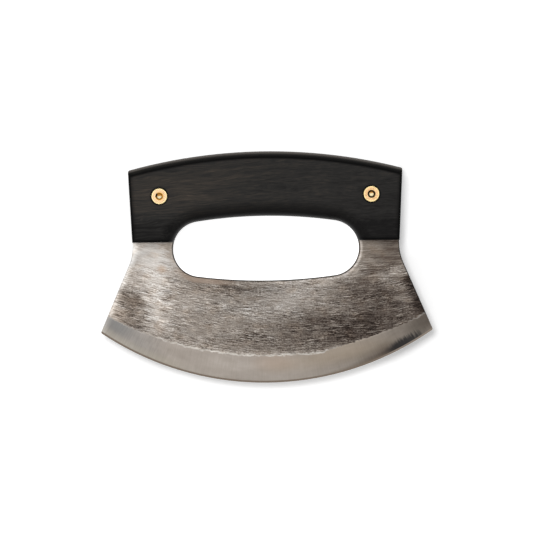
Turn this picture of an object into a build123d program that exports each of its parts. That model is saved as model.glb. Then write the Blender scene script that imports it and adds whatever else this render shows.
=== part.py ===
from build123d import *
import os
from math import atan2, isclose, radians, sqrt, tan

# An ulu: a crescent blade under a bar handle, lying on its rear scale.
# X runs along the handle, Y from the cutting edge to the back of the handle, Z up from the table.
# The origin is under the middle of the knife, on the table.

# Whole knife
blade_length = 165.4  # between the points where flanks and edge would meet, before they are rounded
overall_height = 115.1  # from the lowest point of the edge to the back of the handle
blade_thickness = 3.0
scale_thickness = 9.0

# Blade outline
edge_radius = 146.0
arm_span = 132.6  # outside the two arms that carry the handle
arm_width = 20.0  # where the grip opening is widest
shoulder_drop = 6.6  # from the foot of the scales down to where arm and flank would meet
shoulder_radius = 25.0  # hollow curve between an arm and its flank, where the drop has room for it
shoulder_room_share = 0.95  # of the drop, for the curve where the room limits it
tip_radius = 0.8
rim_chamfer = 0.4  # breaks the bare rims of the plate

# Ground band and sharpened edge, the same on both faces
grind_height = 13.4  # at the middle of the edge
grind_line_radius = 163.0  # flatter than the edge, so the band narrows towards the tips
sharpened_height = 1.0
sharpened_thickness = 0.7  # steel left where the sharpened bevel starts
edge_thickness = 0.15

# Handle outline
handle_height = 44.7  # from the foot of the scales to the back
end_flare = 2.9  # each end leans out this many degrees
back_radius = 264.4
end_corner_radius = 1.2

# Grip opening, between the arms
handle_band = 32.0  # between the back of the handle and the opening
opening_height = 32.2
opening_floor_radius = 257.0

# Rounding of the scales
back_round_width = 3.2  # seen from the front
back_round_depth = 5.0  # down the back
grip_wall = 1.0  # upright wood left beside the blade, under the deep round of the grip
rim_round_radius = 1.0

# Fasteners: a sleeve nut from the front and a screw from the rear
fastener_inset = 13.7  # from the outside of the arm
fastener_drop = 21.85  # below the back
head_diameter = 8.0
head_thickness = 2.6
head_chamfer = 0.25
socket_across_flats = 3.175
socket_depth = 1.9
socket_point_angle = 59.0  # half angle of the drill point under the socket
barrel_diameter = 5.0
barrel_end_gap = 1.4  # between the end of the barrel and the screw's head
thread_diameter = 3.0
thread_relief = 2.0  # bore left past the end of the screw
front_hub = 2.5  # solid metal between the socket and the threaded bore
hole_clearance = 0.1  # round the heads and barrels, on the radius
thread_clearance = 0.05  # on the radius
front_socket_turns = {"left": 30.0, "right": 12.0}
rear_socket_turns = {"left": 5.0, "right": 21.0}

# Shared places
overrun = 1.0  # how far a cut runs past what it cuts
knife_thickness = blade_thickness + 2 * scale_thickness
blade_rear_plane = Plane.XY.offset(scale_thickness)
blade_front_plane = Plane.XY.offset(scale_thickness + blade_thickness)
blade_middle_plane = Plane.XY.offset(knife_thickness / 2)
front_plane = Plane.XY.offset(knife_thickness)


def has_radius(edge, radius):
    """Whether an edge is an arc of this radius."""
    return edge.geom_type == GeomType.CIRCLE and isclose(edge.radius, radius)


back_level = overall_height / 2
back_centre = back_level - back_radius
foot_level = back_level - handle_height
half_foot = arm_span / 2
half_back = half_foot + handle_height * tan(radians(end_flare))
fastener_x = half_foot - fastener_inset
fastener_level = back_level - fastener_drop
fastener_points = [(-fastener_x, fastener_level), (fastener_x, fastener_level)]

edge_bottom = -overall_height / 2
edge_centre = edge_bottom + edge_radius
tip_level = edge_centre - sqrt(edge_radius**2 - (blade_length / 2) ** 2)
shoulder_level = foot_level - shoulder_drop
flank_lean = atan2((blade_length - arm_span) / 2, shoulder_level - tip_level)
roomy_radius = shoulder_room_share * shoulder_drop / tan(flank_lean / 2)

# Grip opening: a lens between two long arcs, with ends that touch both arcs and leave the arms their width.
# A circle of radius r that touches both arcs has its centre at rise - lean * r above the centre of the back.
# It reaches as far as the arm when lean**2 * r**2 + 2 * slack * r = spare.
opening_top = back_level - handle_band
opening_top_radius = back_radius - handle_band
opening_floor_centre = opening_top - opening_height + opening_floor_radius
half_opening = half_foot - arm_width
centre_gap = opening_floor_centre - back_centre
lean = (opening_top_radius - opening_floor_radius) / centre_gap
rise = (centre_gap**2 + opening_top_radius**2 - opening_floor_radius**2) / (2 * centre_gap)
slack = opening_top_radius - half_opening - rise * lean
spare = opening_top_radius**2 - half_opening**2 - rise**2
opening_end_radius = spare / (slack + sqrt(slack**2 + lean**2 * spare))
with BuildSketch() as grip_opening:
    with Locations((0, back_centre)):
        Circle(opening_top_radius)
    with Locations((0, opening_floor_centre)):
        Circle(opening_floor_radius, mode=Mode.INTERSECT)
    fillet(grip_opening.vertices(), opening_end_radius)

# Handle outline, which the scales and the hidden part of the blade share
with BuildSketch() as handle_outline:
    with BuildLine():
        Polyline(
            (-half_foot, foot_level),
            (half_foot, foot_level),
            (half_back, back_level),
            (-half_back, back_level),
            close=True,
        )
    make_face()
    with Locations((0, back_centre)):
        Circle(back_radius, mode=Mode.INTERSECT)
    fillet(handle_outline.vertices().group_by(Axis.Y)[-1], end_corner_radius)
    add(grip_opening.sketch, mode=Mode.SUBTRACT)

# Bare part of the blade: the crescent and the two arms, up to the scales
with BuildSketch() as crescent_outline:
    with BuildLine():
        ThreePointArc(
            (-blade_length / 2, tip_level),
            (0, edge_bottom),
            (blade_length / 2, tip_level),
        )
        Polyline(
            (blade_length / 2, tip_level),
            (half_foot, shoulder_level),
            (half_foot, foot_level),
            (-half_foot, foot_level),
            (-half_foot, shoulder_level),
            (-blade_length / 2, tip_level),
        )
    make_face()
    fillet(crescent_outline.vertices().group_by(Axis.Y)[1], min(shoulder_radius, roomy_radius))
    fillet(crescent_outline.vertices().group_by(Axis.Y)[0], tip_radius)
    add(grip_opening.sketch, mode=Mode.SUBTRACT)

# Everything that the grinding leaves: a lens of oblique cones through three arcs on each side
with BuildPart() as ground_envelope:
    front_arcs = [
        (edge_thickness / 2, edge_centre, edge_radius),
        (sharpened_thickness / 2, edge_centre, edge_radius - sharpened_height),
        (blade_thickness / 2, edge_bottom + grind_height + grind_line_radius, grind_line_radius),
    ]
    rear_arcs = [(-height, centre, radius) for height, centre, radius in reversed(front_arcs)]
    for height, centre, radius in rear_arcs + front_arcs:
        with BuildSketch(blade_middle_plane.offset(height)):
            with Locations((0, centre)):
                Circle(radius)
    loft(ruled=True)

# Blade: one plate from edge to back, ground on both faces
with BuildPart() as blade:
    with BuildSketch(blade_rear_plane):
        add(crescent_outline.sketch)
    extrude(amount=blade_thickness)
    rims = blade.faces().filter_by(Axis.Z).edges()
    chamfer([rim for rim in rims if rim.center().Y < foot_level], rim_chamfer)
    add(ground_envelope.part, mode=Mode.INTERSECT)
    with BuildSketch(blade_rear_plane):
        add(handle_outline.sketch)
    extrude(amount=blade_thickness)
    with Locations(blade_front_plane):
        with Locations(*fastener_points):
            Hole(barrel_diameter / 2 + hole_clearance)
blade.part.label = "blade"
os.makedirs("parts", exist_ok=True)
export_step(blade.part, "parts/blade.step")

# Front scale: crisp round-over along the back, and a deep round where the fingers close
with BuildPart() as front_scale:
    with BuildSketch(blade_front_plane):
        add(handle_outline.sketch)
    extrude(amount=scale_thickness)
    front_edges = front_scale.faces().sort_by(Axis.Z)[-1].edges()
    grip_edges = [
        edge
        for edge in front_edges
        if has_radius(edge, opening_top_radius) or has_radius(edge, opening_end_radius)
    ]
    fillet(grip_edges, scale_thickness - grip_wall)
    rim_edges = front_scale.faces().sort_by(Axis.Z)[-1].edges().filter_by(GeomType.LINE)
    fillet(rim_edges, rim_round_radius)
    with BuildSketch(Plane((0, back_centre, 0), x_dir=(0, -1, 0), z_dir=(-1, 0, 0))):
        with BuildLine():
            TangentArc(
                (back_radius, knife_thickness - back_round_depth),
                (back_radius - back_round_width, knife_thickness),
                tangent=(0, 1),
            )
            Polyline(
                (back_radius - back_round_width, knife_thickness),
                (back_radius - back_round_width, knife_thickness + overrun),
                (back_radius + overrun, knife_thickness + overrun),
                (back_radius + overrun, knife_thickness - back_round_depth),
                (back_radius, knife_thickness - back_round_depth),
            )
        make_face()
    revolve(axis=Axis((0, back_centre, 0), (0, 0, 1)), mode=Mode.SUBTRACT)
    with Locations(front_plane):
        with Locations(*fastener_points):
            CounterBoreHole(
                barrel_diameter / 2 + hole_clearance,
                head_diameter / 2 + hole_clearance,
                head_thickness,
            )
front_scale.part.label = "front_scale"
export_step(front_scale.part, "parts/front_scale.step")

# Rear scale: the same, on the other side of the blade
with BuildPart() as rear_scale:
    mirror(front_scale.part, about=blade_middle_plane)
rear_scale.part.label = "rear_scale"
export_step(rear_scale.part, "parts/rear_scale.step")

# Fasteners: a sleeve nut and a screw on each side, both with a hexagon socket over a drill point
drill_point_depth = socket_across_flats / 2 / tan(radians(socket_point_angle))
bore_top = knife_thickness - socket_depth - drill_point_depth - front_hub
screw_end = bore_top - thread_relief
barrel_end = head_thickness + barrel_end_gap
thread_radius = thread_diameter / 2
bore_radius = thread_radius + thread_clearance

for (x, y), side in zip(fastener_points, ("left", "right")):
    axis = Axis((x, y, 0), (0, 0, 1))
    section_plane = Plane((x, y, 0), x_dir=(1, 0, 0), z_dir=(0, -1, 0))

    with BuildPart() as sleeve_nut:
        with BuildSketch(section_plane):
            with BuildLine():
                Polyline(
                    (0, bore_top),
                    (0, knife_thickness),
                    (head_diameter / 2 - head_chamfer, knife_thickness),
                    (head_diameter / 2, knife_thickness - head_chamfer),
                    (head_diameter / 2, knife_thickness - head_thickness),
                    (barrel_diameter / 2, knife_thickness - head_thickness),
                    (barrel_diameter / 2, barrel_end),
                    (bore_radius, barrel_end),
                    (bore_radius, bore_top),
                    close=True,
                )
            make_face()
        revolve(axis=axis)
        with BuildSketch(front_plane):
            with Locations((x, y)):
                RegularPolygon(socket_across_flats / 2, 6, major_radius=False, rotation=front_socket_turns[side])
        extrude(amount=-socket_depth, mode=Mode.SUBTRACT)
        with BuildSketch(section_plane):
            with BuildLine():
                Polyline(
                    (0, knife_thickness - socket_depth),
                    (socket_across_flats / 2, knife_thickness - socket_depth),
                    (0, knife_thickness - socket_depth - drill_point_depth),
                    close=True,
                )
            make_face()
        revolve(axis=axis, mode=Mode.SUBTRACT)
    sleeve_nut.part.label = f"{side}_sleeve_nut"
    export_step(sleeve_nut.part, f"parts/{side}_sleeve_nut.step")

    with BuildPart() as screw:
        with BuildSketch(section_plane):
            with BuildLine():
                Polyline(
                    (0, 0),
                    (head_diameter / 2 - head_chamfer, 0),
                    (head_diameter / 2, head_chamfer),
                    (head_diameter / 2, head_thickness),
                    (thread_radius, head_thickness),
                    (thread_radius, screw_end - head_chamfer),
                    (thread_radius - head_chamfer, screw_end),
                    (0, screw_end),
                    close=True,
                )
            make_face()
        revolve(axis=axis)
        with BuildSketch():
            with Locations((x, y)):
                RegularPolygon(socket_across_flats / 2, 6, major_radius=False, rotation=rear_socket_turns[side])
        extrude(amount=socket_depth, mode=Mode.SUBTRACT)
        with BuildSketch(section_plane):
            with BuildLine():
                Polyline(
                    (0, socket_depth),
                    (socket_across_flats / 2, socket_depth),
                    (0, socket_depth + drill_point_depth),
                    close=True,
                )
            make_face()
        revolve(axis=axis, mode=Mode.SUBTRACT)
    screw.part.label = f"{side}_sleeve_screw"
    export_step(screw.part, f"parts/{side}_sleeve_screw.step")
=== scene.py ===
"""An ulu on a white table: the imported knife, dressed in brushed forge scale, black wood and brass."""

import math

import bpy
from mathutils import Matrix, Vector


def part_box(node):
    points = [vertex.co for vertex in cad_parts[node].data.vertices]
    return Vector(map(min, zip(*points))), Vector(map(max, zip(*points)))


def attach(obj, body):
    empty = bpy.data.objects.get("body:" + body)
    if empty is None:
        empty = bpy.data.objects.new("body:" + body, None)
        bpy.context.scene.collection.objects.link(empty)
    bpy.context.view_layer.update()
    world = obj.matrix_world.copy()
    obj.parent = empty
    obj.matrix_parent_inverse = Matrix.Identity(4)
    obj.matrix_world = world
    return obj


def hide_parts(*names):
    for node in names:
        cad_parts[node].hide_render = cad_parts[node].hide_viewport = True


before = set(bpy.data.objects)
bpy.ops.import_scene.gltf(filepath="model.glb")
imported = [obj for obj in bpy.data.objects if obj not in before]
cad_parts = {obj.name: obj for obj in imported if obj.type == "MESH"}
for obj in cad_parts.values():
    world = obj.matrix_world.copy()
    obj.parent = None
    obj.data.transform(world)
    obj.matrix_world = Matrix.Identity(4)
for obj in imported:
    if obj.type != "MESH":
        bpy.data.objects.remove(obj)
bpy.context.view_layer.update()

# Sizes are in metres, and the patterns of the finishes in millimetres
MILLIMETRES = 1000.0
KNIFE = "root"
LEVEL = 0.99999  # a face whose normal is this upright is level
MERGE_DISTANCE = 0.000001
BLADE_CREASE = 4.0  # edges of the blade steeper than this, in degrees, stay crisp
CREASE = 25.0  # and those of the wood and the brass
WHITE = (1.0, 1.0, 1.0, 1.0)

# The knife's own places, as the patterns use them
blade_low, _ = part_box("blade")
scale_low, scale_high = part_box("front_scale")
edge_bottom = blade_low.y * MILLIMETRES
edge_radius = 146.0
edge_centre = edge_bottom + edge_radius
grind_height = 13.4
grind_line_radius = 163.0
grind_centre = edge_bottom + grind_height + grind_line_radius
opening_floor = -6.65
opening_floor_radius = 257.0
opening_floor_centre = opening_floor + opening_floor_radius
opening_middle = 9.5
opening_end = (32.5, 9.32)  # middle of the round at either end of the opening
opening_end_radius = 13.8
half_arms = 66.3
shoulder_level = 6.25
flank_slope = 0.43
flank_square = 0.919  # from the width at a level to the distance square to the flank
head_x = 52.6
head_y = 35.7
knife_middle = 10.5
head_level = 10.5  # from the knife's middle out to either face
opening_top = 25.55
grip_radius = 232.4
grip_centre = opening_top - grip_radius  # the back of the handle is round this point too
back_radius = 264.4
foot_level = scale_low.y * MILLIMETRES
half_handle = scale_high.x * MILLIMETRES
handle_end = 65.6  # half the handle's length at level 0, if its sloping ends went down so far
handle_end_slope = 0.052

# Camera and light
camera_height = 2.0
camera_clip = (0.1, 10.0)
seen_height = 0.015  # the level whose scale the picture keeps
picture_width = 0.2649  # at that level
picture_centre = (0.00015, 0.0003)
picture_turn = math.radians(-0.65)
sensor_width = 36.0

key_place = (-0.26, 0.36, 1.55)
key_size = 0.5
key_power = 13.0
sheen_place = (-0.36, 0.10, 1.50)
sheen_size = 0.6
sheen_power = 3.0
ambient_level = 0.45
table_reach = 3.0
table_white = 0.82
table_glow = 0.36  # what is seen added to the light on the table, so that the bare table is white
# The grip opening's extra glow is painted light that takes the shadow out there
opening_glow = 0.5  # and what more is added in the grip opening

# What the table's glow gains or loses beside the knife, to even its shadow out: where it loses, a painted
# shadow, and where it gains, painted light
glow_right_of_blade = -0.115
glow_left_of_blade = -0.05
glow_right_of_handle = 0.14
glow_at_handle_end = -0.04
glow_at_back_corner = -0.09


# Nodes


def linear(red, green, blue):
    """A colour as a screen shows it, 0 to 255, in the light values that nodes take."""
    shares = [value / 255 for value in (red, green, blue)]
    return (*[s / 12.92 if s <= 0.04045 else ((s + 0.055) / 1.055) ** 2.4 for s in shares], 1.0)


class Nodes:
    """A node tree, with a short call for each kind of node that goes into it."""

    def __init__(self, tree):
        self.tree = tree

    def node(self, kind, inputs=None, **settings):
        made = self.tree.nodes.new(kind)
        for name, value in settings.items():
            setattr(made, name, value)
        for key, value in (inputs or {}).items():
            if isinstance(value, bpy.types.NodeSocket):
                self.tree.links.new(value, made.inputs[key])
            else:
                made.inputs[key].default_value = value
        return made

    def parts(self, vector):
        split = self.node("ShaderNodeSeparateXYZ", {0: vector})
        return split.outputs[0], split.outputs[1], split.outputs[2]

    def joined(self, x, y, z=0.0):
        return self.node("ShaderNodeCombineXYZ", {0: x, 1: y, 2: z}).outputs[0]

    def stretched(self, vector, x, y, z):
        return self.node("ShaderNodeVectorMath", {0: vector, 1: (x, y, z)}, operation="MULTIPLY").outputs[0]

    def math(self, operation, first, second=0.0, third=0.0):
        return self.node("ShaderNodeMath", {0: first, 1: second, 2: third}, operation=operation).outputs[0]

    def total(self, first, *others):
        for other in others:
            first = self.math("ADD", first, other)
        return first

    def times(self, first, *others):
        for other in others:
            first = self.math("MULTIPLY", first, other)
        return first

    def ramp(self, value, low, high, start=0.0, end=1.0):
        """Start below low, end above high, and a soft change between."""
        made = self.node(
            "ShaderNodeMapRange",
            {0: value, 1: low, 2: high, 3: start, 4: end},
            interpolation_type="SMOOTHSTEP",
        )
        return made.outputs[0]

    def seen(self):
        """One for the rays that see the background, straight or by gloss or through glass."""
        rays = self.node("ShaderNodeLightPath").outputs
        straight_or_gloss = self.math("MAXIMUM", rays["Is Camera Ray"], rays["Is Glossy Ray"])
        return self.math("MAXIMUM", straight_or_gloss, rays["Is Transmission Ray"])


class Finish(Nodes):
    """A material under construction."""

    def __init__(self, name):
        self.material = bpy.data.materials.new(name)
        self.material.use_nodes = True
        super().__init__(self.material.node_tree)
        self.tree.nodes.clear()

    def millimetres(self):
        """Places on the object, in millimetres."""
        place = self.node("ShaderNodeTexCoord").outputs["Object"]
        scaled = self.node("ShaderNodeVectorMath", {0: place, "Scale": MILLIMETRES}, operation="SCALE")
        return scaled.outputs[0]

    def facing(self):
        """The way that the surface faces, in its three parts."""
        return self.parts(self.node("ShaderNodeTexCoord").outputs["Normal"])

    def noise(self, vector, detail=2.0, roughness=0.5):
        """Noise about zero, from about -1 to 1."""
        made = self.node(
            "ShaderNodeTexNoise",
            {"Vector": vector, "Scale": 1.0, "Detail": detail, "Roughness": roughness},
        )
        return self.math("MULTIPLY_ADD", made.outputs[0], 4.0, -2.0)

    def grain(self, first, second, depth, detail=2.0, roughness=0.5):
        """Noise over two distances, each with its count per millimetre, and a depth that sets it apart."""
        place = self.joined(self.times(*first), self.times(*second), depth)
        return self.noise(place, detail, roughness)

    def blend(self, share, first, second, kind="MIX"):
        inputs = {0: share, 6: first, 7: second}
        return self.node("ShaderNodeMix", inputs, data_type="RGBA", blend_type=kind).outputs[2]

    def colours(self, value, stops):
        made = self.node("ShaderNodeValToRGB", {0: value})
        band = made.color_ramp.elements
        band[0].position, band[0].color = stops[0]
        band[1].position, band[1].color = stops[-1]
        for place, colour in stops[1:-1]:
            band.new(place).color = colour
        return made.outputs[0]

    def bump(self, height, depth):
        """Relief of the given depth in metres where height changes by one."""
        inputs = {"Height": height, "Distance": depth, "Strength": 1.0}
        return self.node("ShaderNodeBump", inputs).outputs[0]

    def finish(self, colour, roughness, normal, **fixed):
        """Closes the material with its surface shader and what else that takes."""
        inputs = {"Base Color": colour, "Roughness": roughness, "Normal": normal}
        inputs.update({name.replace("_", " "): value for name, value in fixed.items()})
        shader = self.node("ShaderNodeBsdfPrincipled", inputs)
        self.node("ShaderNodeOutputMaterial", {0: shader.outputs[0]})
        return self.material


# Distances on the knife


def around(finish, x, y, centre):
    """Distance from a centre and the way round it, both in millimetres."""
    across = finish.math("SUBTRACT", x, centre[0])
    down = finish.math("SUBTRACT", centre[1], y)
    reach = finish.math("SQRT", finish.total(finish.times(across, across), finish.times(down, down)))
    turn = finish.math("ARCTAN2", across, down)
    return reach, finish.times(turn, centre[1] - edge_bottom)


def from_opening(finish, x, y, centre, radius):
    """Distance from the rim of the grip opening, below its floor or above its top, in millimetres."""
    from_middle = finish.math("ABSOLUTE", x)
    from_arc = finish.math("SUBTRACT", around(finish, x, y, (0.0, centre))[0], radius)
    from_end = finish.math("SUBTRACT", around(finish, from_middle, y, opening_end)[0], opening_end_radius)
    arc_ends = finish.times(finish.math("SUBTRACT", y, centre), opening_end[0] / (opening_end[1] - centre))
    past_arc = finish.math("GREATER_THAN", from_middle, arc_ends)
    return finish.total(from_arc, finish.times(past_arc, finish.math("SUBTRACT", from_end, from_arc)))


def from_flank(finish, x, y):
    """Distance from the outside of the arm or flank, in millimetres."""
    below = finish.math("MAXIMUM", finish.math("SUBTRACT", shoulder_level, y), 0.0)
    outside = finish.math("MULTIPLY_ADD", below, flank_slope, half_arms)
    return finish.times(finish.math("SUBTRACT", outside, finish.math("ABSOLUTE", x)), flank_square)


# Soft patches, placed at listed points


def soft_patch(finish, plane, place, half_size, turn=0.0):
    """One at the middle of an oval, and nothing outside it."""
    local = finish.node(
        "ShaderNodeMapping",
        {
            "Vector": plane,
            "Location": (*place, 0.0),
            "Rotation": (0.0, 0.0, math.radians(turn)),
            "Scale": (*half_size, 1.0),
        },
        vector_type="TEXTURE",
    ).outputs[0]
    patch = finish.node("ShaderNodeTexGradient", {0: local}, gradient_type="SPHERICAL").outputs[1]
    return finish.ramp(patch, 0.0, 0.9)


def hand_marks(finish, plane, marks):
    """How much lighter or darker the marks make each place, laid one over another."""
    total = 0.0
    for place, (half_length, half_height), turn, change in marks:
        half_size = (half_length * MARK_SPREAD, half_height * MARK_SPREAD)
        patch = soft_patch(finish, plane, place, half_size, turn)
        total = finish.math("MULTIPLY_ADD", patch, change, total)
    return total


def hand_tints(finish, plane, colour, tints):
    """The colour with the tints laid over it."""
    for place, half_size, turn, share, tint in tints:
        patch = soft_patch(finish, plane, place, half_size, turn)
        colour = finish.blend(finish.times(patch, share), colour, tint)
    return colour


# Blade: its streaks fall to the middle from the left and rise again on the right

METAL_TONES = [
    (0.00, linear(14, 11, 10)),
    (0.20, linear(47, 40, 36)),
    (0.35, linear(84, 75, 69)),
    (0.50, linear(120, 112, 104)),
    (0.65, linear(152, 144, 136)),
    (0.80, linear(183, 176, 169)),
    (1.00, linear(228, 224, 219)),
]
STEEL_RELIEF = 0.00004
BAND_ROUGHNESS = 0.34
SCALE_ROUGHNESS = 0.12  # and how much rougher the forge scale is

FALL_ENDS = 12.0  # left of here the streaks fall, by this much times the distance to this power
FALL = 0.0204
FALL_POWER = 1.5
RISE_STARTS = 30.0  # and right of here they rise, by this much times the distance squared
RISE = 0.00275
CLOUD_CENTRE = (15.0, 230.0)  # left of this point the clouds in the scale follow circles about it

# What each layer adds to the tone of the scale: everywhere, more on the left wing and more on the right
STREAK_SHARES = [
    ("bold", 0.02, -0.01, 0.0),
    ("streaks", -0.08, 0.0, 0.0),
    ("fine", 0.17, 0.04, -0.03),
    ("specks", 0.17, 0.0, -0.02),
    ("pits", -0.08, -0.02, 0.05),
    ("ridges", 0.13, 0.03, 0.07),
]
GRAIN_LIMIT = 0.30  # the streaks make no place lighter or darker than this

# Marks are given by place, half length, half height, turn in degrees, and how much lighter or darker
MARK_SPREAD = 1.5  # a mark fades out at this many times its size
SCALE_MARKS = [
    # Left wing: a light upright zone with dark patches outside it
    ((-55.8, -13.0), (7.5, 21.0), 3, 0.19),
    ((-50.0, -33.0), (10.0, 6.0), -12, -0.06),
    ((-65.5, -16.0), (9.0, 6.5), -14, -0.19),
    ((-66.5, -27.5), (9.0, 5.5), -22, -0.16),
    ((-61.0, -16.0), (4.0, 3.5), 0, -0.06),
    ((-70.0, -4.0), (6.0, 5.0), -14, 0.08),
    ((-77.0, -19.5), (5.0, 7.0), -25, 0.07),
    ((-52.0, 2.0), (5.0, 8.0), 8, 0.06),
    ((-48.0, 9.5), (3.5, 7.0), 0, -0.09),
    ((-63.0, 10.5), (3.5, 4.0), 0, 0.08),
    ((-59.5, 12.0), (3.0, 2.0), 0, -0.06),
    # Under the grip opening
    ((-33.0, -9.0), (9.0, 4.5), -12, -0.07),
    ((-16.0, -10.5), (11.0, 2.8), -3, -0.14),
    ((-34.0, -17.0), (10.0, 6.0), -12, 0.03),
    ((-33.0, -27.5), (5.0, 6.0), 0, -0.04),
    ((21.0, -12.0), (19.0, 9.0), 3, 0.17),
    ((32.0, -5.2), (10.0, 3.6), 8, 0.14),
    ((30.0, -21.5), (5.0, 4.0), 0, 0.06),
    ((6.0, -20.0), (16.0, 7.0), 0, 0.11),
    ((-11.0, -25.0), (9.0, 9.0), 0, 0.04),
    ((0.0, -30.0), (6.0, 4.0), 0, 0.05),
    ((11.0, -22.0), (4.5, 3.0), 0, 0.05),
    ((22.0, -28.0), (6.0, 4.0), 0, -0.06),
    ((44.0, -21.0), (14.0, 4.5), 0, 0.06),
    # Along the grind line
    ((-4.0, -34.5), (24.0, 6.0), 3, -0.06),
    ((44.0, -30.0), (18.0, 8.0), 14, -0.11),
    # Right wing
    ((46.0, 5.0), (4.5, 9.0), -4, 0.10),
    ((43.5, -3.0), (7.0, 4.0), 30, 0.16),
    ((53.0, -17.5), (5.0, 4.0), 0, -0.05),
    ((58.0, 8.0), (6.0, 7.0), 0, 0.08),
    ((58.5, -5.2), (10.0, 3.0), 6, 0.20),
    ((66.0, -1.6), (5.5, 3.4), 20, 0.20),
    ((66.0, -9.0), (6.0, 4.0), 0, 0.08),
    ((67.0, -14.0), (5.0, 4.0), 0, 0.04),
    ((67.5, -17.0), (4.0, 2.5), 0, 0.16),
    ((61.0, -12.5), (7.0, 2.5), 0, -0.05),
]
BAND_MARKS = [
    ((-74.0, -28.5), (9.0, 5.0), -28, -0.09),
    ((-74.0, -36.0), (12.0, 2.5), -32, 0.06),
    ((-56.0, -38.5), (9.0, 5.0), -24, -0.04),
    ((-38.0, -45.0), (11.0, 3.5), -14, -0.03),
    ((-20.0, -47.5), (20.0, 3.5), -6, 0.03),
    ((8.0, -47.0), (20.0, 3.0), 3, 0.02),
    ((36.0, -41.0), (9.0, 4.0), 14, 0.03),
    ((48.0, -37.8), (12.0, 3.0), 22, 0.06),
    ((49.0, -48.5), (12.0, 2.5), 21, -0.06),
    ((54.5, -43.3), (10.0, 3.0), 24, -0.07),
    ((61.5, -43.0), (8.0, 4.5), 24, -0.10),
    ((78.5, -27.5), (9.0, 4.0), 28, -0.17),
]

# Tints are given by place, half size, turn in degrees, share and colour
ARM_TINTS = [
    ((-52.2, -0.4), (4.0, 3.4), 0, 0.55, linear(158, 134, 112)),
]
BAND_TINTS = [
    ((4.0, -47.5), (16.0, 7.0), 2, 0.35, linear(160, 138, 118)),
    ((34.0, -43.5), (40.0, 8.0), 13, 0.40, linear(146, 130, 108)),
    ((-74.0, -28.0), (12.0, 7.0), -28, 0.35, linear(110, 114, 116)),
    ((76.0, -29.5), (11.0, 6.5), 28, 0.50, linear(104, 98, 90)),
]


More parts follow.
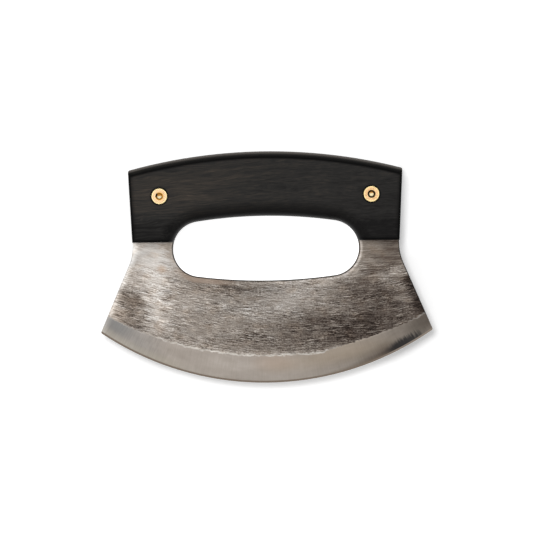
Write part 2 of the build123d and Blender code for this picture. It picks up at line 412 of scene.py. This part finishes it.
class BladeSteel(Finish):
    """The blade's finish, with the zones and the noise that its forge scale and ground band share."""

    def __init__(self):
        super().__init__("blade_steel")
        x, y, z = self.parts(self.millimetres())
        self.x, self.y, self.z = x, y, z
        self.flat = self.joined(x, y)

        self.arm = self.ramp(y, -5.0, 5.0)
        self.left_arm = self.times(self.arm, self.ramp(x, -30.0, -45.0))
        self.right_arm = self.times(self.arm, self.ramp(x, 0.0, 20.0))
        self.left_wing = self.times(self.ramp(x, -30.0, -52.0), self.math("SUBTRACT", 1.0, self.arm))
        self.right_side = self.ramp(x, 15.0, 45.0)
        to_flank = from_flank(self, x, y)
        self.left_flank = self.times(self.ramp(to_flank, 3.4, 0.3), self.ramp(x, 0.0, -20.0))
        self.right_flank = self.times(self.ramp(to_flank, 5.5, 0.5), self.ramp(x, 0.0, 20.0))
        self.to_opening = from_opening(self, x, y, opening_floor_centre, opening_floor_radius)
        self.edge_reach, self.edge_way = around(self, x, y, (0.0, edge_centre))
        self.above_edge = self.math("SUBTRACT", edge_radius, self.edge_reach)

        self.layers = self.streak_layers()
        self.contrast = self.times(
            self.math("MULTIPLY_ADD", self.arm, -0.75, 1.0),
            self.math("MULTIPLY_ADD", self.left_wing, -0.14, 1.0),
            self.ramp(self.layers["lively"], -0.8, 0.8, 0.70, 1.30),
        )

        # Patches of the scale are drawn out along the streaks
        streaks = self.layers["streaks"]
        self.drawn_out = self.joined(
            self.total(x, self.times(self.layers["bold"], 5.0), self.times(streaks, 2.5)),
            self.total(y, self.times(streaks, 1.2), self.times(self.layers["clouds"], 3.0)),
        )

        # The grind line is ragged
        grind_reach, self.grind_way = around(self, x, y, (0.0, grind_centre))
        teeth = self.noise(self.joined(self.times(self.grind_way, 0.35), 0.0), 3.0, 0.55)
        ragged = self.total(
            self.times(teeth, 0.75),
            self.times(streaks, 0.40),
            self.times(self.ramp(x, 30.0, 44.0), self.ramp(x, 72.0, 60.0), 0.6),
            self.times(self.ramp(x, 15.0, 21.0), self.ramp(x, 34.0, 27.0), -0.9),
        )
        above_arc = self.math("SUBTRACT", grind_line_radius, grind_reach)
        self.above_line = self.math("SUBTRACT", above_arc, ragged)
        self.in_scale = self.ramp(self.above_line, -0.12, 0.18)

    def streak_layers(self):
        """The noise of the forge scale, a layer for each length and width of streak, all wavering alike."""
        x, y, z = self.x, self.y, self.z
        falling = self.math("MAXIMUM", self.math("SUBTRACT", FALL_ENDS, x), 0.0)
        rising = self.math("MAXIMUM", self.math("SUBTRACT", x, RISE_STARTS), 0.0)
        down = self.total(
            self.math("SUBTRACT", CLOUD_CENTRE[1], y),
            self.times(self.math("POWER", falling, FALL_POWER), FALL),
            self.times(rising, rising, RISE),
        )
        bent = self.math("MINIMUM", self.math("SUBTRACT", x, CLOUD_CENTRE[0]), 0.0)
        reach = around(self, bent, y, (0.0, CLOUD_CENTRE[1]))[0]
        sway = self.grain((x, 0.12), (reach, 0.15), z, 1.0)
        wavy = self.math("MULTIPLY_ADD", sway, self.ramp(x, 0.0, 40.0, 0.6, 0.35), down)
        streaks = self.grain((x, 0.13), (wavy, 1.8), z, 1.0)
        across = self.math("MULTIPLY_ADD", wavy, 2.1, 0.5)
        raised = self.grain((x, 0.16), (across, 1.0), z, 1.0)
        return {
            "bold": self.grain((x, 0.11), (wavy, 0.75), z),
            "streaks": streaks,
            "fine": self.grain((x, 0.26), (wavy, 2.9), z, 1.0),
            "specks": self.grain((x, 1.1), (wavy, 2.9), z, 1.0),
            "pits": self.ramp(streaks, 0.25, 0.70),
            "ridges": self.ramp(raised, 0.30, 0.75),
            "clouds": self.grain((x, 0.09), (reach, 0.26), z, 3.0, 0.55),
            "lively": self.grain((x, 0.07), (reach, 0.16), 7.0, 1.0),
        }

    def streak_tone(self):
        """How much lighter or darker all the streaks together make each place."""
        tone = 0.0
        for name, everywhere, on_left_wing, on_right in STREAK_SHARES:
            left = self.times(self.left_wing, on_left_wing)
            right = self.times(self.right_side, on_right)
            share = self.total(left, right, everywhere)
            tone = self.math("MULTIPLY_ADD", self.layers[name], share, tone)
        return self.math("MAXIMUM", self.math("MINIMUM", tone, GRAIN_LIMIT), -GRAIN_LIMIT)

    def scale_tone(self):
        """How light the scale is, which is thin on the arms, with painted light that makes it lighter on the
        left and darker on the right.
        """
        x, y = self.x, self.y
        clouds = self.layers["clouds"]
        tone = self.total(
            # painted light from the left: the tone falls from the left to the right
            self.ramp(x, -64.0, 64.0, 0.60, 0.33),
            self.times(self.arm, 0.06),
            hand_marks(self, self.drawn_out, SCALE_MARKS),
            self.times(self.streak_tone(), self.contrast),
            self.times(clouds, 0.035),
        )
        mottle = self.grain((x, 0.45), (y, 0.45), 9.0, 3.0)
        tone = self.math("MULTIPLY_ADD", self.left_arm, self.math("MULTIPLY_ADD", mottle, 0.03, 0.04), tone)

        # The arms were brushed level again, which shows a little all over the right
        level_lines = self.grain((x, 0.05), (y, 1.5), self.z, 3.0, 0.6)
        line_depth = self.math("MULTIPLY_ADD", self.right_arm, 0.04, self.ramp(x, -10.0, 40.0, 0.0, 0.07))
        tone = self.math("MULTIPLY_ADD", level_lines, line_depth, tone)
        across_arm = self.ramp(x, 48.0, 66.0, 0.5, -0.5)
        tone = self.math("MULTIPLY_ADD", across_arm, self.times(self.right_arm, 0.10), tone)
        tone = self.math("MULTIPLY_ADD", self.times(self.arm, clouds), 0.05, tone)

        # The left flank catches the light, and the right one turns away from it lower down
        tone = self.total(
            tone,
            self.times(self.left_flank, 0.20),
            self.times(self.right_flank, self.ramp(y, 1.0, -8.0, 0.0, -0.17)),
        )

        # The scale is frayed and paler just above the grind line
        frayed = self.times(
            self.ramp(self.above_line, 3.2, 0.4),
            self.ramp(x, -34.0, -20.0),
            self.ramp(x, 44.0, 30.0),
        )
        tone = self.math("MULTIPLY_ADD", frayed, 0.11, tone)

        # A pale line was worn beside the rim of the grip opening, most on the right
        worn = self.times(
            self.ramp(self.to_opening, 0.6, 0.9),
            self.ramp(self.to_opening, 2.4, 1.1),
            self.ramp(x, -16.0, 8.0),
        )
        return self.math("MULTIPLY_ADD", worn, self.ramp(x, 34.0, 44.0, 0.15, 0.25), tone)

    def forge_scale(self):
        """The scale's colour, a little blue on the left arm and in the middle, and brown here and there."""
        x = self.x
        tint = self.grain((x, 0.16), (self.y, 0.22), 5.0, 1.0)
        browner = self.total(
            self.times(soft_patch(self, self.drawn_out, (-74.0, -22.0), (16.0, 12.0)), 0.8),
            soft_patch(self, self.drawn_out, (-48.0, 11.0), (7.0, 6.0)),
            self.times(self.right_arm, 0.3),
            self.ramp(tint, 0.0, 0.9, 0.0, 0.7),
        )
        bluer = self.total(
            self.times(self.left_arm, 0.5),
            self.times(soft_patch(self, self.drawn_out, (2.0, -17.0), (38.0, 18.0)), 0.5),
            self.ramp(tint, 0.0, -0.9, 0.0, 0.4),
        )
        colour = self.colours(self.scale_tone(), METAL_TONES)
        colour = self.blend(browner, colour, linear(255, 249, 243), "MULTIPLY")
        colour = self.blend(bluer, colour, linear(245, 250, 255), "MULTIPLY")

        # Tan under the left of the opening, painted shade along the opening's rim, and a small stain on the
        # left arm
        tan = self.times(
            self.ramp(self.to_opening, 3.6, 2.2),
            self.ramp(x, -46.0, -38.0),
            self.ramp(x, -10.0, -26.0),
        )
        colour = self.blend(self.times(tan, 0.75), colour, linear(141, 125, 112))
        # Painted shade: a dark line along the rim of the grip opening
        rim_shade = self.ramp(self.to_opening, 0.75, 0.45, 0.0, 0.7)
        colour = self.blend(rim_shade, colour, linear(52, 46, 42))
        return hand_tints(self, self.flat, colour, ARM_TINTS)

    def ground_band(self):
        """Clean steel, brushed across."""
        x = self.x
        across = self.grain((self.edge_way, 1.5), (self.edge_reach, 0.10), self.z, 3.0, 0.6)
        broad = self.grain((self.edge_way, 0.10), (self.edge_reach, 0.30), self.z)
        tone = self.total(
            self.ramp(x, 10.0, 66.0, 0.63, 0.51),
            hand_marks(self, self.flat, BAND_MARKS),
            self.times(across, self.ramp(x, -40.0, -62.0, 0.02, 0.06)),
            self.times(broad, 0.03),
            # painted highlight along the left flank
            self.times(self.left_flank, 0.22),
        )
        colour = self.colours(tone, METAL_TONES)
        colour = self.blend(self.ramp(x, -46.0, -66.0, 0.0, 0.4), colour, linear(124, 124, 124))
        colour = hand_tints(self, self.flat, colour, BAND_TINTS)
        olive = self.times(self.ramp(self.above_edge, 5.5, 1.5), self.ramp(x, -34.0, -56.0))
        colour = self.blend(self.times(olive, 0.4), colour, linear(150, 143, 128))

        # A feathery dark reflection near the right tip
        toothed = self.joined(
            self.math("MULTIPLY_ADD", across, 1.1, x),
            self.math("MULTIPLY_ADD", across, 1.6, self.y),
        )
        feather = self.ramp(soft_patch(self, toothed, (68.7, -38.9), (17.5, 5.6), 28.0), 0.05, 0.85)
        return self.blend(self.times(feather, 0.85), colour, linear(26, 28, 32))

    def lip(self):
        """Where a light lip shows, which comes and goes along the grind line."""
        x = self.x
        breaks = self.math("MULTIPLY_ADD", self.layers["fine"], 0.35, self.above_line)
        comes = self.noise(self.joined(self.times(self.grind_way, 0.16), 3.0))
        return self.times(
            self.ramp(breaks, -0.35, 0.0),
            self.ramp(breaks, 0.8, 0.25),
            self.ramp(comes, -0.6, 0.2, 0.3, 1.0),
            self.ramp(x, -62.0, -40.0, 0.25, 1.0),
            self.total(self.ramp(x, 40.0, 26.0), self.ramp(x, 70.0, 76.0, 0.0, 0.4)),
        )

    def sharpened(self, colour):
        """The colour with the sharpened bevel, dark and a little brown, and a stain above its right part."""
        x = self.x
        stain = self.times(
            self.ramp(x, 24.0, 40.0),
            self.ramp(x, 66.0, 56.0),
            self.ramp(self.above_edge, 2.3, 1.2),
        )
        colour = self.blend(self.times(stain, 0.35), colour, linear(104, 92, 78))
        bevel_colour = self.blend(self.ramp(x, 50.0, 70.0), linear(121, 109, 97), linear(138, 127, 116))
        return self.blend(self.ramp(self.above_edge, 1.05, 0.75), colour, bevel_colour)

    def rimmed(self, colour):
        """The colour with painted shade on the cut rims that face up or right, and steel on the tang's rim.
        """
        facing = self.facing()
        up_or_right = self.total(self.times(facing[0], 0.8), self.times(facing[1], 0.6))
        in_handle = self.ramp(self.y, foot_level - 0.1, foot_level + 0.1)
        # Painted shade on the cut rims that face up or right
        upper_rim_shade = self.times(self.ramp(up_or_right, 0.15, 0.45), self.math("SUBTRACT", 1.0, in_handle))
        colour = self.blend(self.times(upper_rim_shade, 0.9), colour, linear(28, 24, 22))
        tang_rim = self.times(in_handle, self.ramp(self.math("ABSOLUTE", facing[2]), 0.9, 0.6))
        return self.blend(self.times(tang_rim, 0.85), colour, linear(104, 98, 92))

    def whole(self):
        """The finished material, with the band below the grind line and the scale above it."""
        colour = self.blend(self.in_scale, self.ground_band(), self.forge_scale())
        colour = self.blend(self.times(self.lip(), 0.8), colour, linear(194, 189, 182))
        colour = self.rimmed(self.sharpened(colour))

        streaks = self.layers["streaks"]
        relief = self.total(
            self.times(self.layers["bold"], 0.5),
            self.times(streaks, -0.8),
            self.times(self.layers["fine"], 0.25),
            self.times(self.layers["clouds"], 0.5),
        )
        normal = self.bump(self.times(relief, self.in_scale, self.contrast), STEEL_RELIEF)
        roughness = self.math("MULTIPLY_ADD", self.in_scale, SCALE_ROUGHNESS, BAND_ROUGHNESS)
        roughness = self.math("MULTIPLY_ADD", streaks, -0.03, roughness)
        return self.finish(colour, roughness, normal, Metallic=1.0)


# Handle: black wood

WOOD_TONES = [
    (0.20, linear(20, 19, 19)),
    (0.50, linear(40, 39, 38)),
    (0.70, linear(54, 50, 46)),
    (0.90, linear(72, 64, 57)),
]
WOOD_RELIEF = 0.000008
WOOD_ROUGHNESS = 0.46
WOOD_SPECULAR = 0.05
WOOD_BLACK = linear(2, 2, 2)
DEEP_BLACK = linear(4, 4, 4)


def black_wood():
    finish = Finish("black_wood")
    place = finish.millimetres()
    x, y, z = finish.parts(place)
    flat = finish.joined(x, y)
    sway = finish.noise(finish.stretched(place, 0.03, 0.12, 0.12))
    lean = finish.times(finish.math("MINIMUM", finish.math("SUBTRACT", x, 20.0), 0.0), -0.08)
    wavy = finish.joined(x, finish.total(finish.times(sway, 1.8), y, lean), z)
    rings = finish.noise(finish.stretched(wavy, 0.018, 0.55, 0.55), 4.0, 0.6)
    fibres = finish.noise(finish.stretched(wavy, 0.09, 1.9, 1.9), 4.0, 0.65)
    short = finish.noise(finish.stretched(wavy, 0.34, 1.6, 1.6))
    flecks = finish.ramp(finish.noise(finish.stretched(wavy, 0.16, 1.5, 1.5), 2.0, 0.6), 0.35, 0.9)

    # Painted light from the upper left: browner and lighter on the left and at the upper left, blacker to
    # the lower right and along the bottom, with the grain more open on the left and closer on the right
    to_left = finish.ramp(x, half_handle * 0.5, -half_handle)
    low_right = finish.times(finish.ramp(x, 10.0, half_handle), finish.ramp(y, 46.0, 30.0))
    tone = finish.total(
        finish.math("MULTIPLY_ADD", to_left, 0.06, 0.49),
        finish.times(soft_patch(finish, flat, (-38.0, 37.5), (42.0, 15.0), 10.0), 0.10),
        finish.times(low_right, -0.12),
        finish.times(finish.ramp(y, 29.0, 19.0), finish.math("MULTIPLY_ADD", to_left, -0.10, -0.16)),
    )
    for layer, share, more_on_left in (
        (rings, 0.08, 0.05),
        (fibres, 0.16, 0.10),
        (short, 0.10, -0.09),
        (flecks, 0.04, 0.13),
    ):
        share_here = finish.math("MULTIPLY_ADD", to_left, more_on_left, share)
        tone = finish.math("MULTIPLY_ADD", layer, share_here, tone)
    colour = finish.colours(tone, WOOD_TONES)

    # Painted shade round the grip opening, and in a thin dark line along the ends, the foot and the grip's
    # rim
    upright = finish.math("ABSOLUTE", finish.facing()[2])
    off_walls = finish.ramp(upright, 0.2, 0.6)
    from_middle = finish.math("ABSOLUTE", x)
    from_grip = from_opening(finish, x, y, grip_centre, grip_radius)
    # painted shade round the grip opening
    grip_shade = finish.times(
        finish.ramp(from_grip, 9.5, 0.8, 0.0, 0.9),
        finish.ramp(from_middle, 34.0, 43.0, 1.0, 0.55),
        finish.math("MULTIPLY_ADD", off_walls, 0.6, 0.4),
    )
    colour = finish.blend(grip_shade, colour, linear(10, 9, 9))
    end_at_level = finish.math("MULTIPLY_ADD", y, handle_end_slope, handle_end)
    from_end = finish.math("SUBTRACT", end_at_level, from_middle)
    from_foot = finish.math("SUBTRACT", y, foot_level)
    rim = finish.math("MINIMUM", finish.math("MINIMUM", from_end, from_foot), from_grip)
    rim_shade = finish.total(finish.ramp(rim, 3.2, 0.8, 0.0, 0.5), finish.ramp(rim, 1.5, 0.8, 0.0, 0.48))
    colour = finish.blend(finish.times(rim_shade, off_walls), colour, WOOD_BLACK)

    # And darker in a ring round the brass heads
    for side in (-1, 1):
        head = (side * head_x, head_y, 0.0)
        from_head = finish.node("ShaderNodeVectorMath", {0: flat, 1: head}, operation="DISTANCE").outputs[1]
        colour = finish.blend(finish.ramp(from_head, 4.9, 4.3, 0.0, 0.85), colour, DEEP_BLACK)

    # Painted shade on the round of the back, darkest where it turns from the flat, and a painted sheen along
    # its outer edge
    from_back = finish.math("SUBTRACT", back_radius, around(finish, x, y, (0.0, grip_centre))[0])
    turning = finish.times(finish.ramp(from_back, 4.4, 3.6, 0.0, 0.6), off_walls)
    colour = finish.blend(turning, colour, DEEP_BLACK)
    turned = finish.times(
        finish.ramp(from_back, 3.7, 3.3),
        finish.ramp(from_back, 1.2, 3.4, 0.1, 0.97),
        finish.ramp(upright, 0.15, 0.40),
    )
    colour = finish.blend(turned, colour, WOOD_BLACK)
    # Painted sheen: the outer edge of the back's round is made lighter
    back_sheen = finish.times(
        finish.ramp(upright, 0.76, 0.42),
        finish.ramp(upright, 0.10, 0.30),
        finish.ramp(from_back, 3.4, 3.0),
    )
    colour = finish.blend(finish.times(back_sheen, 0.6), colour, linear(108, 102, 96))

    relief = finish.total(finish.times(fibres, 0.7), finish.times(rings, 0.3))
    normal = finish.bump(relief, WOOD_RELIEF)
    roughness = finish.math("MULTIPLY_ADD", fibres, 0.03, WOOD_ROUGHNESS)
    return finish.finish(colour, roughness, normal, Specular_IOR_Level=WOOD_SPECULAR)


# Fasteners: turned brass

BRASS_TONES = [
    (0.2, linear(184, 142, 96)),
    (0.5, linear(214, 180, 132)),
    (0.8, linear(236, 212, 168)),
]
BRASS_RELIEF = 0.000006
BRASS_ROUGHNESS = 0.3


def turned_brass():
    finish = Finish("turned_brass")
    place = finish.millimetres()
    x, y, z = finish.parts(place)
    across = finish.math("SUBTRACT", finish.math("ABSOLUTE", x), head_x)
    up = finish.math("SUBTRACT", y, head_y)
    out = finish.math("SQRT", finish.total(finish.times(across, across), finish.times(up, up)))

    # Turning marks run round the head, over blotches of tarnish
    blotches = finish.noise(finish.stretched(place, 0.55, 0.55, 0.55), 3.0)
    turning = finish.noise(finish.joined(finish.times(out, 2.2), 0.0, finish.times(z, 2.2)))
    tone = finish.total(finish.times(blotches, 0.16), finish.times(turning, 0.20), 0.52)
    colour = finish.colours(tone, BRASS_TONES)

    # The outer ring is bright and the inner one rosier, and the left head is the paler one, with painted
    # shade that tones it down against the sheen lamp's extra light there
    colour = finish.blend(finish.ramp(out, 3.2, 3.6, 0.0, 0.8), colour, linear(244, 221, 160))
    rosy = finish.times(finish.ramp(out, 2.3, 2.7), finish.ramp(out, 3.5, 3.2))
    colour = finish.blend(finish.times(rosy, 0.35), colour, linear(206, 162, 122))
    colour = finish.blend(finish.ramp(x, 20.0, -20.0, 0.0, 0.8), colour, linear(220, 224, 234), "MULTIPLY")

    # Painted shade darkens the socket's edge, all round on the right and at the upper left on the left
    upright = finish.ramp(finish.math("ABSOLUTE", finish.facing()[2]), 0.2, 0.4)
    # Painted shade round the socket's edge
    socket_shade = finish.times(finish.ramp(out, 0.9, 1.2), finish.ramp(out, 2.12, 1.85), upright)
    to_right = finish.times(across, finish.math("SIGN", x))
    upper_left = finish.times(finish.ramp(to_right, -0.7, -1.25), finish.ramp(up, -0.7, 0.0))
    thick = finish.math("MAXIMUM", finish.ramp(x, -20.0, 20.0), upper_left)
    dark_socket_colour = finish.blend(thick, linear(158, 112, 38), linear(20, 9, 2))
    colour = finish.blend(socket_shade, colour, dark_socket_colour)

    # The socket's drilled floor has a painted highlight below and painted shade above, more so on the left
    from_middle = finish.math("ABSOLUTE", finish.math("SUBTRACT", z, knife_middle))
    below_face = finish.math("SUBTRACT", head_level, from_middle)
    floor = finish.times(finish.ramp(below_face, 1.2, 1.6), finish.ramp(out, 1.25, 0.9))
    shaded = finish.ramp(finish.total(up, finish.ramp(x, 20.0, -20.0, 0.0, 0.35)), 0.1, 0.8)
    drilled = finish.blend(shaded, linear(255, 252, 214), linear(222, 162, 78))
    colour = finish.blend(floor, colour, drilled)

    scratches = finish.noise(finish.stretched(place, 2.0, 7.0, 2.0))
    normal = finish.bump(finish.total(scratches, turning), BRASS_RELIEF)
    roughness = finish.math("MULTIPLY_ADD", blotches, 0.04, BRASS_ROUGHNESS)
    return finish.finish(colour, roughness, normal, Metallic=finish.math("MULTIPLY_ADD", floor, -0.9, 1.0))


# Pieces


def merged_copy(node, name):
    """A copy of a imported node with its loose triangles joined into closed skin."""
    piece = bpy.data.objects.new(name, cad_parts[node].data.copy())
    piece.data.name = name
    bpy.context.scene.collection.objects.link(piece)
    bpy.ops.object.select_all(action="DESELECT")
    bpy.context.view_layer.objects.active = piece
    piece.select_set(True)
    bpy.ops.object.mode_set(mode="EDIT")
    bpy.ops.mesh.select_all(action="SELECT")
    bpy.ops.mesh.remove_doubles(threshold=MERGE_DISTANCE)
    bpy.ops.object.mode_set(mode="OBJECT")
    return piece


def smooth(piece, angle):
    """Smooth shading that stays crisp at edges steeper than the angle, and true on the level faces."""
    bpy.ops.object.mode_set(mode="EDIT")
    bpy.ops.mesh.select_mode(type="EDGE")
    bpy.ops.mesh.select_all(action="DESELECT")
    bpy.ops.mesh.edges_select_sharp(sharpness=math.radians(angle))
    bpy.ops.mesh.mark_sharp()
    bpy.ops.mesh.select_mode(type="FACE")
    bpy.ops.mesh.select_all(action="DESELECT")
    bpy.ops.object.mode_set(mode="OBJECT")
    for face in piece.data.polygons:
        face.select = abs(face.normal.z) > LEVEL
    bpy.ops.object.mode_set(mode="EDIT")
    bpy.ops.mesh.mod_weighted_strength(set=True, face_strength="STRONG")
    bpy.ops.object.mode_set(mode="OBJECT")
    bpy.ops.object.shade_smooth()
    bpy.ops.object.modifier_add(type="WEIGHTED_NORMAL")
    weighted = piece.modifiers[-1]
    weighted.mode = "FACE_AREA_WITH_ANGLE"
    weighted.keep_sharp = True
    weighted.use_face_influence = True
    bpy.ops.object.modifier_apply(modifier=weighted.name)


def dress(node, name, angle, material):
    """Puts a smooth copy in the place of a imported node, in its finish."""
    piece = merged_copy(node, name)
    smooth(piece, angle)
    piece.data.materials.clear()
    piece.data.materials.append(material)
    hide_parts(node)
    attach(piece, KNIFE)


steel = BladeSteel().whole()
wood = black_wood()
brass = turned_brass()

dress("blade", "forged_blade", BLADE_CREASE, steel)
for side in ("front", "rear"):
    dress(f"{side}_scale", f"{side}_wood", CREASE, wood)
for side in ("left", "right"):
    for part in ("nut", "screw"):
        dress(f"{side}_sleeve_{part}", f"{side}_brass_{part}", CREASE, brass)


# Table, light and camera


def white_table():
    """A white table that is seen as the white background, with the knife's shadow round its outside.

    The glow evens the shadow out with painted shadow and painted light, so that it is as wide beside the
    blade as beside the thicker handle, and a painted light keeps the table in the grip opening at its full
    white, with no shadow there.
    """
    bpy.ops.object.select_all(action="DESELECT")
    bpy.ops.mesh.primitive_plane_add(size=table_reach, location=(0.0, 0.0, 0.0))
    table = bpy.context.object
    table.name = "table"
    finish = Finish("table_white")
    x, y, _ = finish.parts(finish.millimetres())
    from_middle = finish.math("ABSOLUTE", x)
    from_opening_middle = finish.math("ABSOLUTE", finish.math("SUBTRACT", y, opening_middle))
    in_opening = finish.times(
        finish.ramp(from_middle, 56.0, 48.0),
        finish.ramp(from_opening_middle, 24.0, 17.0),
    )

    by_blade = finish.total(
        finish.ramp(x, 48.0, 72.0, 0.0, glow_right_of_blade),
        finish.ramp(x, -40.0, -56.0, 0.0, glow_left_of_blade),
    )
    back_corner = finish.times(
        finish.ramp(x, 66.0, 67.0),
        finish.ramp(x, 72.0, 69.0),
        finish.ramp(y, 45.0, 48.0),
    )
    by_handle = finish.total(
        finish.times(finish.ramp(x, 68.0, 70.6), finish.ramp(y, 48.5, 45.0), glow_right_of_handle),
        finish.times(finish.ramp(x, 68.2, 67.6), finish.ramp(y, 47.0, 43.0), glow_at_handle_end),
        finish.times(back_corner, glow_at_back_corner),
    )
    evened = finish.total(
        finish.times(by_blade, finish.ramp(y, 10.0, 3.0), finish.ramp(y, -110.0, -80.0)),
        finish.times(by_handle, finish.ramp(y, 7.0, 13.0)),
    )
    near = finish.ramp(from_middle, 130.0, 100.0)
    glow = finish.math("MULTIPLY_ADD", evened, near, table_glow)
    glow = finish.math("MULTIPLY_ADD", in_opening, opening_glow, glow)

    lit = finish.node("ShaderNodeBsdfDiffuse", {"Color": (table_white, table_white, table_white, 1.0)})
    strength = finish.times(finish.seen(), glow)
    glowing = finish.node("ShaderNodeEmission", {"Color": WHITE, "Strength": strength})
    both = finish.node("ShaderNodeAddShader", {0: lit.outputs[0], 1: glowing.outputs[0]})
    finish.node("ShaderNodeOutputMaterial", {0: both.outputs[0]})
    table.data.materials.append(finish.material)


def soft_lamp(name, place, size, power):
    """A square lamp that looks at the knife."""
    light = bpy.data.lights.new(name, "AREA")
    light.shape = "SQUARE"
    light.size = size
    light.energy = power
    lamp = bpy.data.objects.new(name, light)
    bpy.context.scene.collection.objects.link(lamp)
    lamp.location = place
    lamp.rotation_euler = (-lamp.location).to_track_quat("-Z", "Y").to_euler()
    return lamp


def soft_light():
    """A room that is seen white, and two soft lamps above and to the left.

    Only the dimmer lamp shows as gloss, so that the metals keep their colour.
    """
    world = bpy.data.worlds.new("studio")
    bpy.context.scene.world = world
    world.use_nodes = True
    room = Nodes(world.node_tree)
    level = room.node("ShaderNodeMapRange", {0: room.seen(), 3: ambient_level, 4: 1.0})
    background = room.tree.nodes["Background"]
    background.inputs["Color"].default_value = WHITE
    room.tree.links.new(level.outputs[0], background.inputs["Strength"])

    soft_lamp("key", key_place, key_size, key_power).visible_glossy = False
    soft_lamp("sheen", sheen_place, sheen_size, sheen_power)


def overhead_camera():
    lens = bpy.data.cameras.new("camera")
    lens.sensor_width = sensor_width
    lens.lens = sensor_width * (camera_height - seen_height) / picture_width
    lens.clip_start, lens.clip_end = camera_clip
    camera = bpy.data.objects.new("camera", lens)
    bpy.context.scene.collection.objects.link(camera)
    camera.location = (*picture_centre, camera_height)
    camera.rotation_euler = (0.0, 0.0, picture_turn)
    bpy.context.scene.camera = camera


white_table()
soft_light()
overhead_camera()

bpy.context.scene.view_settings.view_transform = "Standard"
